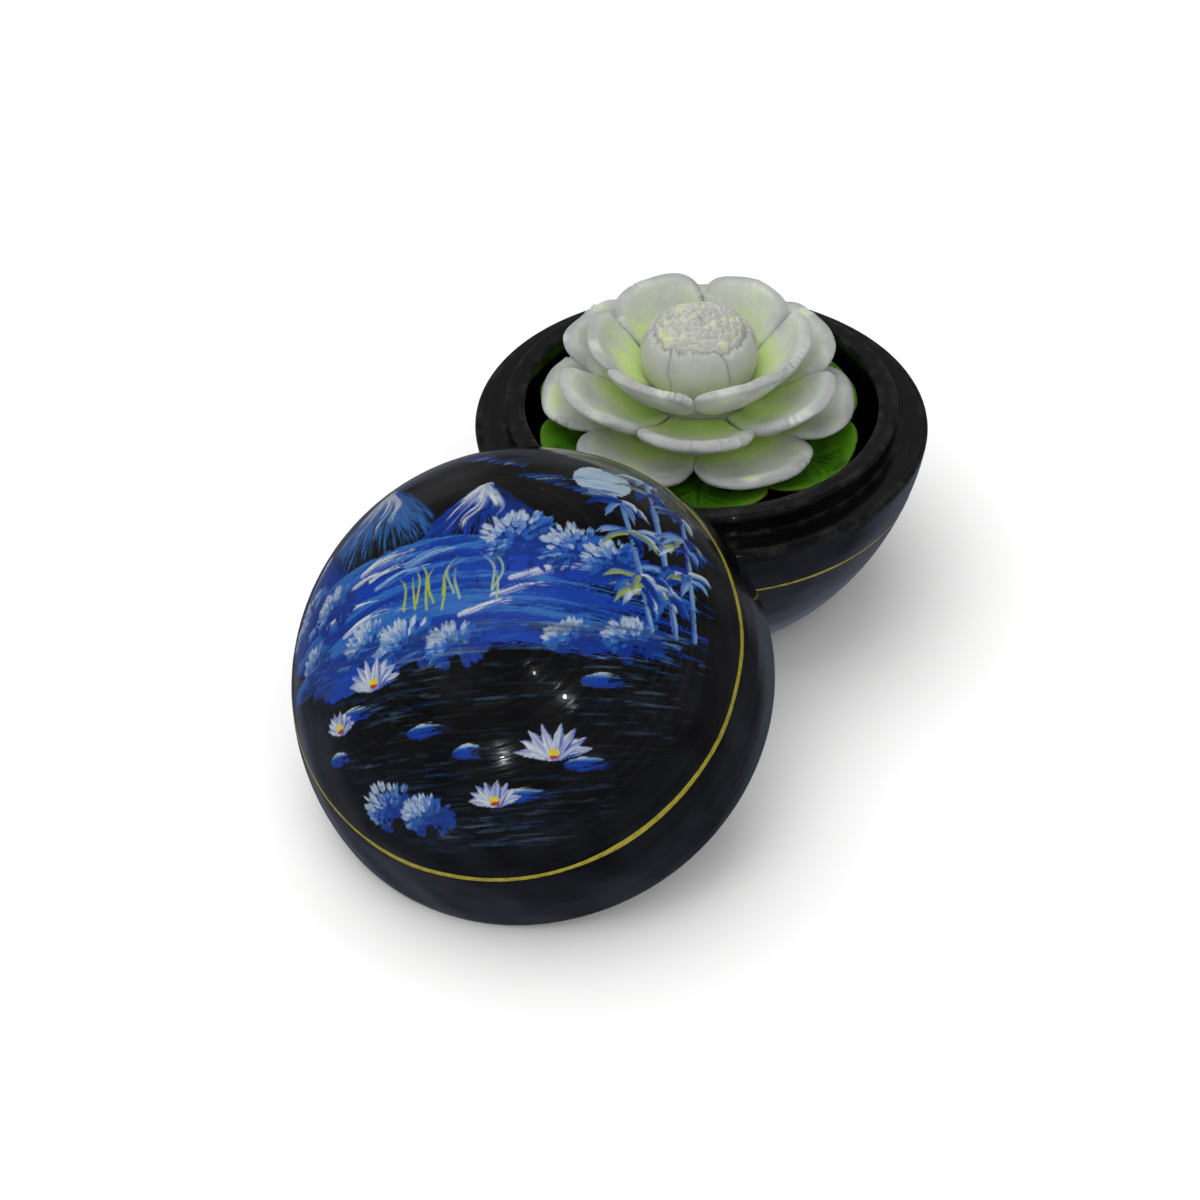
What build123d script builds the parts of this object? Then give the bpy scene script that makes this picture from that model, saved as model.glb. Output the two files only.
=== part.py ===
from build123d import *
from collections import namedtuple
from math import asin, atan2, cos, degrees, hypot, radians, sin, sqrt, tan
import os

# A round lacquered box of turned wood, open, with its domed lid leaning on it
# and a carved soap flower standing in its bowl.
# Millimetres. The origin is the middle of the bowl's foot, on the table.
# +Z is up, and +Y points away from the person who looks at the photograph.

# The bowl, a turned half ball with a raised spigot inside its rim
RIM_R = 50.0
BASE_H = 42.5
FOOT_R = 28.0
WALL_ARC_R = 72.7
LEDGE_W = 6.9
SPIGOT_H = 4.8
SPIGOT_T = 4.3
HOLLOW_STRAIGHT = 7.0
HOLLOW_ARC_R = 42.0
HOLLOW_FLOOR_R = 21.0
FLOOR_T = 6.0
SPIGOT_R = RIM_R - LEDGE_W
HOLLOW_R = SPIGOT_R - SPIGOT_T

# Rounded edges that the turner and the lacquer leave
RIM_ROUND = 1.3
SPIGOT_ROUND = 0.6
FOOT_ROUND = 1.2
INNER_ROUND = 3.0
EDGE_ROUND = 0.4

# The lid, a turned dome whose rim drops over the spigot and whose hollow ends
# in a stop that rests on the spigot's top. The two shares say how full the
# dome is at its shoulder and at its crown.
LID_H = 55.0
LID_T = 6.5
SHOULDER_SHARE = 0.6
CROWN_SHARE = 0.54
SPIGOT_FIT = 0.4
REBATE_SPARE = 0.6
STOP_W = 3.9
LID_STRAIGHT = 9.0
REBATE_R = SPIGOT_R + SPIGOT_FIT
REBATE_H = SPIGOT_H + REBATE_SPARE
LID_HOLLOW_R = REBATE_R - STOP_W

# The lid lies off the bowl: its rim stands on the table at one point and its
# rim face leans on the outer corner of the spigot, a little outside the rebate
LEAN_TOWARDS = -116.0
LEAN_ON = 0.99
LEAN_GAP = 0.3

# The flower: a stem, a bud on its top and rings of petals and leaves around
FLOWER_SHIFT = (-0.6, 0.8)
FLOWER_TWIST = -3.5
FLOWER_SEAT = 0.3
STEM_FOOT_R = 15.0
STEM_WAIST_R = 11.4
STEM_WAIST_SHARE = 0.62
STEM_TOP_R = 13.0
STEM_TOP_UP = 11.5
ROOT_FIT = 0.05
ROOT_IN = 2.5

# The bud is a ball of small petals closed round a heart
BUD_R = 13.5
BUD_MIDDLE_UP = 16.8
BUD_PETAL_T = 1.5
BUD_PETAL_LENGTH = 15.0
BUD_PETAL_WIDTH = 14.0
BUD_PETAL_COUNT = 6
HEART_FIT = 0.4
HEART_TOP_UP = 27.2

# The petals: for each ring the radius and the height over the bowl's rim where
# they leave the stem, their length, width and the radius that they are cupped to
PETAL_T = 1.7
INNER_ROOT_R = 11.0
INNER_ROOT_UP = 11.6
INNER_LENGTH = 16.6
INNER_WIDTH = 21.0
INNER_CUP_R = 21.0
MIDDLE_ROOT_R = 11.6
MIDDLE_ROOT_UP = 7.4
MIDDLE_LENGTH = 21.0
MIDDLE_WIDTH = 24.5
MIDDLE_CUP_R = 24.0
OUTER_ROOT_R = 11.4
OUTER_ROOT_UP = 3.4
OUTER_LENGTH = 22.8
OUTER_WIDTH = 26.5
OUTER_CUP_R = 27.0

# The leaves reach out to just inside the bowl's spigot
LEAF_T = 1.1
LEAF_ROOT_R = 11.2
LEAF_ROOT_UP = -0.8
LEAF_CLEAR = 2.0
LEAF_WIDTH = 30.0
LEAF_CUP_R = 62.0
LEAF_LENGTH = HOLLOW_R - LEAF_CLEAR - LEAF_ROOT_R

# One ring of petals: how many, the turn of the first one, where they leave the
# stem, how steeply they rise, their length, width, the share of the length at
# the widest point, how pointed the tip is, the cup's radius, the share of the
# length at its lowest point, and the thickness
Ring = namedtuple(
    "Ring",
    "name count turn root_r root_up rise length width widest point cup cup_at thick",
)
INNER = (INNER_LENGTH, INNER_WIDTH, 0.66, 0, INNER_CUP_R, 0.50, PETAL_T)
MIDDLE = (MIDDLE_LENGTH, MIDDLE_WIDTH, 0.64, 0, MIDDLE_CUP_R, 0.52, PETAL_T)
OUTER = (OUTER_LENGTH, OUTER_WIDTH, 0.62, 0, OUTER_CUP_R, 0.55, PETAL_T)
LEAF = (LEAF_LENGTH, LEAF_WIDTH, 0.68, 0.5, LEAF_CUP_R, 0.45, LEAF_T)

RINGS = [
    Ring("inner_petal", 6, 0, INNER_ROOT_R, INNER_ROOT_UP, 46, *INNER),
    Ring("middle_petal", 6, 30, MIDDLE_ROOT_R, MIDDLE_ROOT_UP, 27, *MIDDLE),
    Ring("outer_petal", 6, 0, OUTER_ROOT_R, OUTER_ROOT_UP, 11, *OUTER),
    Ring("leaf", 6, 30, LEAF_ROOT_R, LEAF_ROOT_UP, 2, *LEAF),
]

# The knife's cut between two neighbours of one ring
RING_CUT = 0.3


def corner(profile, x, y):
    """The vertex of a flat profile nearest to a point."""
    return profile.vertices().sort_by_distance((x, y, 0))[0]


def rounded(profile, corners):
    """A flat profile with each named corner rounded to its own radius."""
    for x, y, radius in corners:
        profile = fillet(corner(profile, x, y), radius)
    return profile


def turned(profile):
    """A solid turned on the upright axis from a half profile."""
    return revolve(Plane.XZ * profile, Axis.Z)


def base_bowl():
    """The lower half: solid turned wood, hollowed, with a stepped rim."""
    spigot_top = BASE_H + SPIGOT_H
    straight_end = BASE_H - HOLLOW_STRAIGHT
    lines = [
        Line((0, 0), (FOOT_R, 0)),
        RadiusArc((FOOT_R, 0), (RIM_R, BASE_H), -WALL_ARC_R),
        Line((RIM_R, BASE_H), (SPIGOT_R, BASE_H)),
        Line((SPIGOT_R, BASE_H), (SPIGOT_R, spigot_top)),
        Line((SPIGOT_R, spigot_top), (HOLLOW_R, spigot_top)),
        Line((HOLLOW_R, spigot_top), (HOLLOW_R, straight_end)),
        RadiusArc((HOLLOW_R, straight_end), (HOLLOW_FLOOR_R, FLOOR_T), HOLLOW_ARC_R),
        Line((HOLLOW_FLOOR_R, FLOOR_T), (0, FLOOR_T)),
        Line((0, FLOOR_T), (0, 0)),
    ]
    profile = make_face(lines)
    corners = [
        (RIM_R, BASE_H, RIM_ROUND),
        (SPIGOT_R, spigot_top, SPIGOT_ROUND),
        (HOLLOW_R, spigot_top, EDGE_ROUND),
        (HOLLOW_FLOOR_R, FLOOR_T, INNER_ROUND),
        (FOOT_R, 0, FOOT_ROUND),
    ]
    return turned(rounded(profile, corners))


def dome_line(radius, low, top):
    """Half of a dome's outline, upright where it starts and level at its top."""
    shoulder = (radius, low + SHOULDER_SHARE * (top - low))
    crown = (CROWN_SHARE * radius, top)
    return Bezier((radius, low), shoulder, crown, (0, top))


def lid_on_its_rim():
    """The lid as it is turned, with the middle of its rim at the origin."""
    straight_end = REBATE_H + LID_STRAIGHT
    lines = [
        Line((REBATE_R, 0), (RIM_R, 0)),
        dome_line(RIM_R, 0, LID_H),
        Line((0, LID_H), (0, LID_H - LID_T)),
        dome_line(LID_HOLLOW_R, straight_end, LID_H - LID_T),
        Line((LID_HOLLOW_R, straight_end), (LID_HOLLOW_R, REBATE_H)),
        Line((LID_HOLLOW_R, REBATE_H), (REBATE_R, REBATE_H)),
        Line((REBATE_R, REBATE_H), (REBATE_R, 0)),
    ]
    profile = make_face(lines)
    corners = [
        (RIM_R, 0, RIM_ROUND),
        (REBATE_R, 0, EDGE_ROUND),
        (LID_HOLLOW_R, REBATE_H, EDGE_ROUND),
    ]
    return turned(rounded(profile, corners))


def lean_place():
    """Where the lid's rim centre lies and how far it tilts, from its two points of contact."""
    corner_r = SPIGOT_R - SPIGOT_ROUND
    corner_h = BASE_H + SPIGOT_H - SPIGOT_ROUND
    stand_off = SPIGOT_ROUND + LEAN_GAP
    face_reach = REBATE_R + LEAN_ON
    lever = face_reach + RIM_R - RIM_ROUND
    offset = RIM_ROUND + stand_off
    lift = (corner_h - RIM_ROUND) / hypot(lever, offset)
    tilt = asin(lift) + atan2(offset, lever)
    rise = (RIM_R - RIM_ROUND) * sin(tilt) + RIM_ROUND * (1 - cos(tilt))
    reach = corner_r + ((corner_h - rise) * cos(tilt) + stand_off) / sin(tilt)
    return Rot(Z=LEAN_TOWARDS) * Pos(reach, 0, rise) * Rot(Y=degrees(tilt))


def flower_place():
    """The flower's own frame: its middle, at the height of the bowl's rim."""
    return Pos(FLOWER_SHIFT[0], FLOWER_SHIFT[1], BASE_H) * Rot(Z=FLOWER_TWIST)


def stem(spare=0.0):
    """The waisted block of soap that the petals are rooted in."""
    foot = FLOOR_T + FLOWER_SEAT - BASE_H
    waist = foot + STEM_WAIST_SHARE * (STEM_TOP_UP - foot)
    foot_r = STEM_FOOT_R + spare
    waist_r = STEM_WAIST_R + spare
    top_r = STEM_TOP_R + spare
    top = STEM_TOP_UP + spare
    lines = [
        Line((0, foot), (foot_r, foot)),
        ThreePointArc((foot_r, foot), (waist_r, waist), (top_r, top)),
        Line((top_r, top), (0, top)),
        Line((0, top), (0, foot)),
    ]
    return turned(make_face(lines))


def heart():
    """The closed middle of the bud, a dome on a drawn-in base."""
    waist_r = BUD_R - BUD_PETAL_T - HEART_FIT
    below = BUD_MIDDLE_UP - STEM_TOP_UP
    foot_r = sqrt(waist_r**2 - below**2)
    foot_angle = degrees(atan2(-below, foot_r))
    lines = [
        Line((0, STEM_TOP_UP), (foot_r, STEM_TOP_UP)),
        CenterArc((0, BUD_MIDDLE_UP), waist_r, foot_angle, -foot_angle),
        Spline((waist_r, BUD_MIDDLE_UP), (0, HEART_TOP_UP), tangents=((0, 1), (-1, 0))),
        Line((0, HEART_TOP_UP), (0, STEM_TOP_UP)),
    ]
    return turned(make_face(lines))


def bud_ring():
    """The small petals that close round the heart, as one more ring."""
    below = BUD_MIDDLE_UP - STEM_TOP_UP
    cup = BUD_R - BUD_PETAL_T
    return Ring(
        name="bud_petal",
        count=BUD_PETAL_COUNT,
        turn=180 / BUD_PETAL_COUNT,
        root_r=sqrt(cup**2 - below**2),
        root_up=STEM_TOP_UP,
        rise=90,
        length=BUD_PETAL_LENGTH,
        width=BUD_PETAL_WIDTH,
        widest=0.5,
        point=0,
        cup=cup,
        cup_at=below / BUD_PETAL_LENGTH,
        thick=BUD_PETAL_T,
    )


def blade_outline(ring):
    """The flat outline of one petal, from its root at the origin to its tip."""
    half = ring.width / 2
    neck = ring.width / 5
    wide_x = ring.widest * ring.length
    side = Spline((-ROOT_IN, -neck), (wide_x, -half), tangents=((1, -0.4), (1, 0)))
    tip = Spline((wide_x, -half), (ring.length, 0), tangents=((1, 0), (ring.point, 1)))
    middle = Line((ring.length, 0), (-ROOT_IN, 0))
    root = Line((-ROOT_IN, 0), (-ROOT_IN, -neck))
    lower = make_face([side, tip, middle, root])
    return lower + mirror(lower, Plane.XZ)


def sector(ring):
    """The slice of the round that one petal of a ring may fill."""
    half_turn = 180 / ring.count
    apex = RING_CUT / 2 / sin(radians(half_turn))
    reach = RIM_R
    side = reach * tan(radians(half_turn))
    slice_face = make_face(Polyline((apex, 0), (apex + reach, side), (apex + reach, -side), close=True))
    return extrude(Pos(0, 0, -BASE_H) * slice_face, BASE_H + LID_H)


def petal(ring, keep_clear):
    """One cupped petal or leaf, cut where it meets the stem and the bud."""
    reach = ring.cup_at * ring.length
    centre = Pos(reach, 0, sqrt(ring.cup**2 - reach**2))
    shell = centre * (Sphere(ring.cup + ring.thick) - Sphere(ring.cup))
    blade = extrude(Pos(0, 0, -ring.cup / 2) * blade_outline(ring), ring.cup)
    cupped = blade & shell
    placed = Pos(ring.root_r, 0, ring.root_up) * Rot(Y=-ring.rise) * cupped
    return (placed & sector(ring)) - keep_clear


def ring_of(ring, keep_clear):
    """All petals of one ring, each turned to its place."""
    first = petal(ring, keep_clear)
    step = 360 / ring.count
    return [Rot(Z=ring.turn + step * i) * first for i in range(ring.count)]


os.makedirs("parts", exist_ok=True)

place = flower_place()
inside_bud = stem(ROOT_FIT)
inside_rings = inside_bud + Pos(0, 0, BUD_MIDDLE_UP) * Sphere(BUD_R + ROOT_FIT)

nodes = {
    "base_bowl": base_bowl(),
    "lid": lean_place() * lid_on_its_rim(),
    "flower_stem": place * stem(),
    "flower_heart": place * heart(),
}
grown_rings = [(bud_ring(), inside_bud)] + [(ring, inside_rings) for ring in RINGS]
for ring, keep_clear in grown_rings:
    for number, shape in enumerate(ring_of(ring, keep_clear), start=1):
        nodes[f"{ring.name}_{number}"] = place * shape

for name, shape in nodes.items():
    export_step(shape, f"parts/{name}.step")
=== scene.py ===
import math

import bmesh
import bpy
import numpy as np
from mathutils import Matrix, Vector


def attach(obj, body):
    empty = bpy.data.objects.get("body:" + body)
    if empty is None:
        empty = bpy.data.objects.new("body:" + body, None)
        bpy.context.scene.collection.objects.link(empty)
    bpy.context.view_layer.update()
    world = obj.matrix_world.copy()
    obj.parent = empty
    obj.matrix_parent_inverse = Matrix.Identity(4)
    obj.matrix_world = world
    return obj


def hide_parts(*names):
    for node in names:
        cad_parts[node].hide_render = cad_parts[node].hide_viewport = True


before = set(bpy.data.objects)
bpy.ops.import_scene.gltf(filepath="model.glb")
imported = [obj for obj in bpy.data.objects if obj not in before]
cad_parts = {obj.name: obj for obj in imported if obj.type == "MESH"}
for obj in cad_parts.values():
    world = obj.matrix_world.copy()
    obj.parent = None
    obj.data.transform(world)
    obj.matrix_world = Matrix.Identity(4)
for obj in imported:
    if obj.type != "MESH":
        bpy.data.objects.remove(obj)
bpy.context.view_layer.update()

MM = 0.001


def noise(x, y, seed=0):
    """Smooth noise from 0 to 1 over a grid of unit squares."""
    x, y = np.broadcast_arrays(np.asarray(x, float), np.asarray(y, float))
    left, low = np.floor(x).astype(np.int64), np.floor(y).astype(np.int64)
    fx, fy = x - left, y - low
    fx, fy = fx * fx * (3 - 2 * fx), fy * fy * (3 - 2 * fy)

    def at(i, j):
        h = (i * 374761393 + j * 668265263 + (seed + 11) * 1442695041) & 0xFFFFFFFF
        h = ((h ^ (h >> 13)) * 1274126177) & 0xFFFFFFFF
        return ((h ^ (h >> 16)) & 0xFFFF) / 65535

    near = at(left, low) * (1 - fx) + at(left + 1, low) * fx
    far = at(left, low + 1) * (1 - fx) + at(left + 1, low + 1) * fx
    return near * (1 - fy) + far * fy


def step(low, high, value):
    """0 below low, 1 above high and smooth between them."""
    t = np.clip((value - low) / (high - low), 0, 1)
    return t * t * (3 - 2 * t)


def put(tree, kind, inputs=None, **settings):
    """A shader node with its settings, and its inputs set or linked."""
    node = tree.nodes.new("ShaderNode" + kind)
    for key, value in settings.items():
        setattr(node, key, value)
    for key, value in (inputs or {}).items():
        if isinstance(value, bpy.types.NodeSocket):
            tree.links.new(value, node.inputs[key])
        else:
            node.inputs[key].default_value = value
    return node


def ramp(tree, factor, *stops):
    """A colour ramp through (place, colour) stops."""
    node = put(tree, "ValToRGB", {"Fac": factor})
    bar = node.color_ramp.elements
    while len(bar) < len(stops):
        bar.new(0.5)
    for element, (place, colour) in zip(bar, stops):
        element.position = place
        element.color = (*colour, 1) if len(colour) == 3 else colour
    return node.outputs["Color"]


def level(tree, factor, low, high, to_low=0.0, to_high=1.0):
    """A number mapped from one range to another and held there."""
    inputs = {"Value": factor, "From Min": low, "From Max": high, "To Min": to_low, "To Max": to_high}
    return put(tree, "MapRange", inputs).outputs["Result"]


def sums(tree, kind, a, b=0.0):
    """One step of arithmetic."""
    return put(tree, "Math", {0: a, 1: b}, operation=kind).outputs["Value"]


def mixed(tree, factor, a, b, kind="MIX"):
    """Two colours mixed by a factor."""
    node = put(tree, "Mix", data_type="RGBA", blend_type=kind)
    for key, value in ((0, factor), (6, a), (7, b)):
        if isinstance(value, bpy.types.NodeSocket):
            tree.links.new(value, node.inputs[key])
        else:
            node.inputs[key].default_value = (*value, 1) if isinstance(value, tuple) else value
    return node.outputs[2]


def material(name, **uniform):
    """A material with its shader's own uniform values set; returns it, its tree and its shader."""
    made = bpy.data.materials.new(name)
    made.use_nodes = True
    tree = made.node_tree
    shader = tree.nodes["Principled BSDF"]
    for key, value in uniform.items():
        shader.inputs[key.replace("_", " ").title().replace("Ior", "IOR")].default_value = value
    return made, tree, shader


def lay(tree, socket, shader, key):
    """Links one output to one input of the shader."""
    tree.links.new(socket, shader.inputs[key])


def spots(tree, coords, scale, detail=3.0, roughness=0.5):
    """Cloudy noise over some coordinates."""
    inputs = {"Vector": coords, "Scale": scale, "Detail": detail, "Roughness": roughness}
    return put(tree, "TexNoise", inputs).outputs["Fac"]


def piece(name, verts, faces, body, replaces, values, place, paint):
    """A smooth mesh object in millimetres, riding on a body, with values at its points."""
    mesh = bpy.data.meshes.new(name)
    bm = bmesh.new()
    corners = [bm.verts.new(v) for v in np.asarray(verts, float) * MM]
    for face in faces:
        bm.faces.new([corners[i] for i in face])
    bm.to_mesh(mesh)
    bm.free()
    mesh.polygons.foreach_set("use_smooth", [True] * len(mesh.polygons))
    for key, numbers in values.items():
        numbers = np.asarray(numbers, np.float32)
        if numbers.ndim == 2:
            mesh.attributes.new(key, "FLOAT_VECTOR", "POINT").data.foreach_set("vector", numbers.ravel())
        else:
            mesh.attributes.new(key, "FLOAT", "POINT").data.foreach_set("value", numbers)
    made = bpy.data.objects.new(name, mesh)
    bpy.context.scene.collection.objects.link(made)
    if place is not None:
        made.matrix_world = place
    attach(made, body)
    if replaces:
        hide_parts(*replaces)
    mesh.materials.append(paint)


def arc(middle, radius, start, end, count):
    """Points on an arc, from the direction of one point to that of another."""
    turns = [math.atan2(y - middle[1], x - middle[0]) for x, y in (start, end)]
    turn = np.linspace(*turns, count)
    return list(zip(middle[0] + radius * np.cos(turn), middle[1] + radius * np.sin(turn)))


WEAR_AND_HIGHLIGHT_REACH = 0.5  # how far from an edge the lacquer is rubbed and painted lighter as a highlight
NO_EDGE = 9  # added where a leg ends without a corner, so that nothing is worn or lit there


def profile_points(legs, roundings, spacing):
    """One dense outline from legs of points, its joins rounded, with the nearness to an edge."""
    points, edge = [], []
    for number, leg in enumerate(legs):
        leg = np.array(leg, float)
        length = np.r_[0, np.cumsum(np.linalg.norm(np.diff(leg, axis=0), axis=1))]
        start = roundings.get(number, 0.0)
        end = length[-1] - roundings.get(number + 1, 0.0)
        along = np.linspace(start, end, max(2, int((end - start) / spacing)))
        run = np.stack([np.interp(along, length, leg[:, 0]), np.interp(along, length, leg[:, 1])], 1)
        if points and start > 0:
            before, corner = points[-1], leg[0]
            for t in np.linspace(0, 1, 7)[1:-1]:
                mix = (1 - t) ** 2 * before + 2 * t * (1 - t) * corner + t * t * run[0]
                points.append(mix)
                edge.append(1.0)
        from_start = along - start if start > 0 else along + NO_EDGE
        to_end = end - along if number + 1 in roundings else end - along + NO_EDGE
        points.extend(run)
        edge.extend(np.exp(-np.minimum(from_start, to_end) / WEAR_AND_HIGHLIGHT_REACH))
    return np.array(points), np.array(edge)


def turned(name, points, edge, body, node, paint, place=None, wobble=0.1, seed=0, segments=256):
    """A lathe-turned solid: its outline swept round its axis, with the turner's slight waver."""
    turn = np.linspace(0, 2 * math.pi, segments, endpoint=False)
    inner = points[1:-1]
    verts = []
    for r, z in inner:
        sway = noise(3 + 2.2 * np.cos(turn) + r * 0.13, 3 + 2.2 * np.sin(turn) + z * 0.21, seed)
        wavered = r - wobble * sway
        verts.append(np.stack([wavered * np.cos(turn), wavered * np.sin(turn), np.full(segments, z)], 1))
    verts = np.concatenate(verts)
    first, last = len(verts), len(verts) + 1
    verts = np.vstack([verts, [(0, 0, points[0][1])], [(0, 0, points[-1][1])]])
    faces = []
    for k in range(len(inner) - 1):
        for i in range(segments):
            j = (i + 1) % segments
            a, b = k * segments, (k + 1) * segments
            faces.append((a + i, a + j, b + j, b + i))
    top = (len(inner) - 1) * segments
    for i in range(segments):
        j = (i + 1) % segments
        faces.append((first, j, i))
        faces.append((last, top + i, top + j))
    # nearness to an edge: the lacquer shows it as wear and as a painted edge highlight
    worn_and_lit_edges = np.r_[np.repeat(edge[1:-1], segments), 0, 0]
    piece(name, verts, faces, body, [node], {"edge": worn_and_lit_edges}, place, paint)


def bump(tree, height, distance, strength, under=None):
    """A relief over another one; returns the bent normal."""
    inputs = {"Height": height, "Distance": distance, "Strength": strength}
    if under is not None:
        inputs["Normal"] = under
    return put(tree, "Bump", inputs).outputs[0]


def lacquer(name, painted=False):
    """Black lacquer over turned wood, in the coordinates of its own axis."""
    made, tree, shader = material(
        name,
        specular_ior_level=0.28,
        specular_tint=(0.90, 0.95, 1.0, 1),
        coat_weight=0.30,
        coat_roughness=0.03,
    )
    place = put(tree, "TexCoord").outputs["Object"]
    x, y, z = put(tree, "SeparateXYZ", {0: place}).outputs
    flat = put(tree, "CombineXYZ", {0: x, 1: y, 2: 0.0}).outputs[0]
    radius = put(tree, "VectorMath", {0: flat}, operation="LENGTH").outputs["Value"]
    turn = sums(tree, "ARCTAN2", y, x)

    def round_the_axis(pitch, around, detail, roughness):
        """Noise that is fine across the wall and drawn out along the turning."""
        parts = ((radius, pitch), (z, pitch), (turn, around))
        drawn = {key: sums(tree, "MULTIPLY", part, by) for key, (part, by) in enumerate(parts)}
        return spots(tree, put(tree, "CombineXYZ", drawn).outputs[0], 1.0, detail, roughness)

    # the marks of a brush held against the turning piece, and the swells that the lathe left
    marks = round_the_axis(900.0, 1.3, 4.0, 0.6)
    waves = round_the_axis(170.0, 1.6, 2.0, 0.4)
    black, brushed = (0.0010, 0.0010, 0.0015), (0.0085, 0.0082, 0.0088)
    rubbed_black, bare_and_lit_edge, dusty = (0.0024, 0.0022, 0.0024), (0.055, 0.051, 0.043), (0.10, 0.095, 0.09)
    colour = ramp(tree, spots(tree, place, 70.0, 3.0, 0.55), (0.30, black), (0.62, rubbed_black))
    colour = mixed(tree, level(tree, marks, 0.50, 0.74, 0.0, 0.7), colour, brushed)
    # edges rubbed thin here and there and painted lighter along them: wear, and a painted highlight
    edge = put(tree, "Attribute", attribute_name="edge").outputs["Fac"]
    worn_and_lit_edges = sums(tree, "MULTIPLY", edge, level(tree, spots(tree, place, 260.0, 4.0, 0.6), 0.46, 0.70))
    colour = mixed(tree, sums(tree, "MULTIPLY", worn_and_lit_edges, 0.30), colour, bare_and_lit_edge)
    # a few specks of dust that dried into the coat
    dust = put(tree, "TexVoronoi", {"Vector": place, "Scale": 230.0, "Randomness": 1.0}, feature="F1")
    speck = level(tree, dust.outputs["Distance"], 0.03, 0.07, 1.0, 0.0)
    rare = level(tree, put(tree, "SeparateColor", {0: dust.outputs["Color"]}).outputs[0], 0.86, 0.88)
    specks = sums(tree, "MULTIPLY", speck, rare)
    colour = mixed(tree, sums(tree, "MULTIPLY", specks, 0.4), colour, dusty)
    rough = level(tree, marks, 0.25, 0.8, 0.07, 0.20)
    if painted:
        ink = put(tree, "Attribute", attribute_name="ink").outputs["Color"]
        cover = put(tree, "Attribute", attribute_name="cover").outputs["Fac"]
        chalk = spots(tree, place, 1500.0, 3.0, 0.6)
        grain = ramp(tree, chalk, (0.25, (0.78, 0.82, 0.88)), (0.75, (1.0, 1.0, 1.0)))
        colour = mixed(tree, cover, colour, mixed(tree, 1.0, ink, grain, "MULTIPLY"))
        rough = put(tree, "Mix", {0: cover, 2: rough, 3: 0.30}).outputs[0]
    lay(tree, colour, shader, "Base Color")
    lay(tree, rough, shader, "Roughness")
    ridges = bump(tree, marks, 0.00010, 0.45)
    swells = bump(tree, waves, 0.0010, 0.28, ridges)
    lay(tree, bump(tree, specks, 0.0001, 0.5, swells), shader, "Normal")
    return made


black_lacquer = lacquer("black_lacquer")

# the wall and the hollow are one long arc each; a ledge and a spigot ring step the rim
FOOT_R, RIM_R, BOWL_H = 28.0, 50.0, 42.5
SPIGOT_R, BORE_R, SPIGOT_TOP, BORE_LOW = 43.1, 38.8, 47.3, 35.5
FLOOR_R, FLOOR_UP = 21.0, 6.0
WALL_MIDDLE, WALL_ARC = (-21.96, 52.81), 72.7
HOLLOW_MIDDLE, HOLLOW_ARC = (-2.90, 40.54), 42.0
bowl_line = profile_points(
    [
        [(0, 0), (FOOT_R, 0)],
        arc(WALL_MIDDLE, WALL_ARC, (FOOT_R, 0), (RIM_R, BOWL_H), 80),
        [(RIM_R, BOWL_H), (SPIGOT_R, BOWL_H)],
        [(SPIGOT_R, BOWL_H), (SPIGOT_R, SPIGOT_TOP)],
        [(SPIGOT_R, SPIGOT_TOP), (BORE_R, SPIGOT_TOP)],
        [(BORE_R, SPIGOT_TOP), (BORE_R, BORE_LOW)],
        arc(HOLLOW_MIDDLE, HOLLOW_ARC, (BORE_R, BORE_LOW), (FLOOR_R, FLOOR_UP), 50),
        [(FLOOR_R, FLOOR_UP), (0, FLOOR_UP)],
    ],
    {1: 1.2, 2: 1.3, 3: 0.35, 4: 0.7, 5: 0.8, 7: 3.0},
    0.6,
)
turned("bowl_turned", *bowl_line, "bowl", "base_bowl", black_lacquer, seed=3)


# The gold line round the bowl: one turn of thin ochre-gold paint, laid by hand
# with a fine brush a finger's breadth under the rim, so its width wavers.
PAINT_EDGE, PAINT_CROWN = 0.004, 0.045  # how proud of the wall the paint stands


def gold_line(name, body, wall_at, height, width, seed, place=None, sway=0.25):
    """A painted ring on a turned wall; wall_at gives the radius at a height."""
    count = 360
    turn = np.linspace(0, 2 * math.pi, count, endpoint=False)
    cx, cy = 4 * np.cos(turn), 4 * np.sin(turn)
    middle = height + sway * (noise(cx + 9, cy + 9, seed) - 0.5)
    half = width / 2 * (0.70 + 0.45 * noise(cx, cy, seed + 1) + 0.15 * noise(5 * cx, 5 * cy, seed + 2))
    verts, faces = [], []
    across = np.array([-1.0, -0.75, -0.25, 0.25, 0.75, 1.0])
    for side in across:
        z = middle + side * half
        r = np.array([wall_at(value) for value in z]) + PAINT_CROWN * (1 - side**4) + PAINT_EDGE
        verts.append(np.stack([r * np.cos(turn), r * np.sin(turn), z], 1))
    for k in range(len(across) - 1):
        for i in range(count):
            j = (i + 1) % count
            faces.append((k * count + i, k * count + j, (k + 1) * count + j, (k + 1) * count + i))
    piece(name, np.concatenate(verts), faces, body, (), {}, place, gold_paint)


def bowl_wall_at(z):
    """The bowl's outer radius at a height."""
    return WALL_MIDDLE[0] + math.sqrt(WALL_ARC**2 - (z - WALL_MIDDLE[1]) ** 2)


gold_paint, tree, shader = material("gold_paint", specular_ior_level=0.5, coat_weight=0.3, coat_roughness=0.1)
place = put(tree, "TexCoord").outputs["Object"]
streaks = spots(tree, place, 700.0, 4.0, 0.65)
thin, full, thick = (0.13, 0.105, 0.002), (0.27, 0.225, 0.004), (0.36, 0.31, 0.02)
lay(tree, ramp(tree, streaks, (0.28, thin), (0.50, full), (0.75, thick)), shader, "Base Color")
lay(tree, level(tree, streaks, 0.3, 0.7, 0.28, 0.5), shader, "Roughness")
lay(tree, bump(tree, streaks, 0.00008, 0.4), shader, "Normal")

gold_line("bowl_gold_line", "bowl", bowl_wall_at, height=30.5, width=0.75, seed=5)

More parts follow.
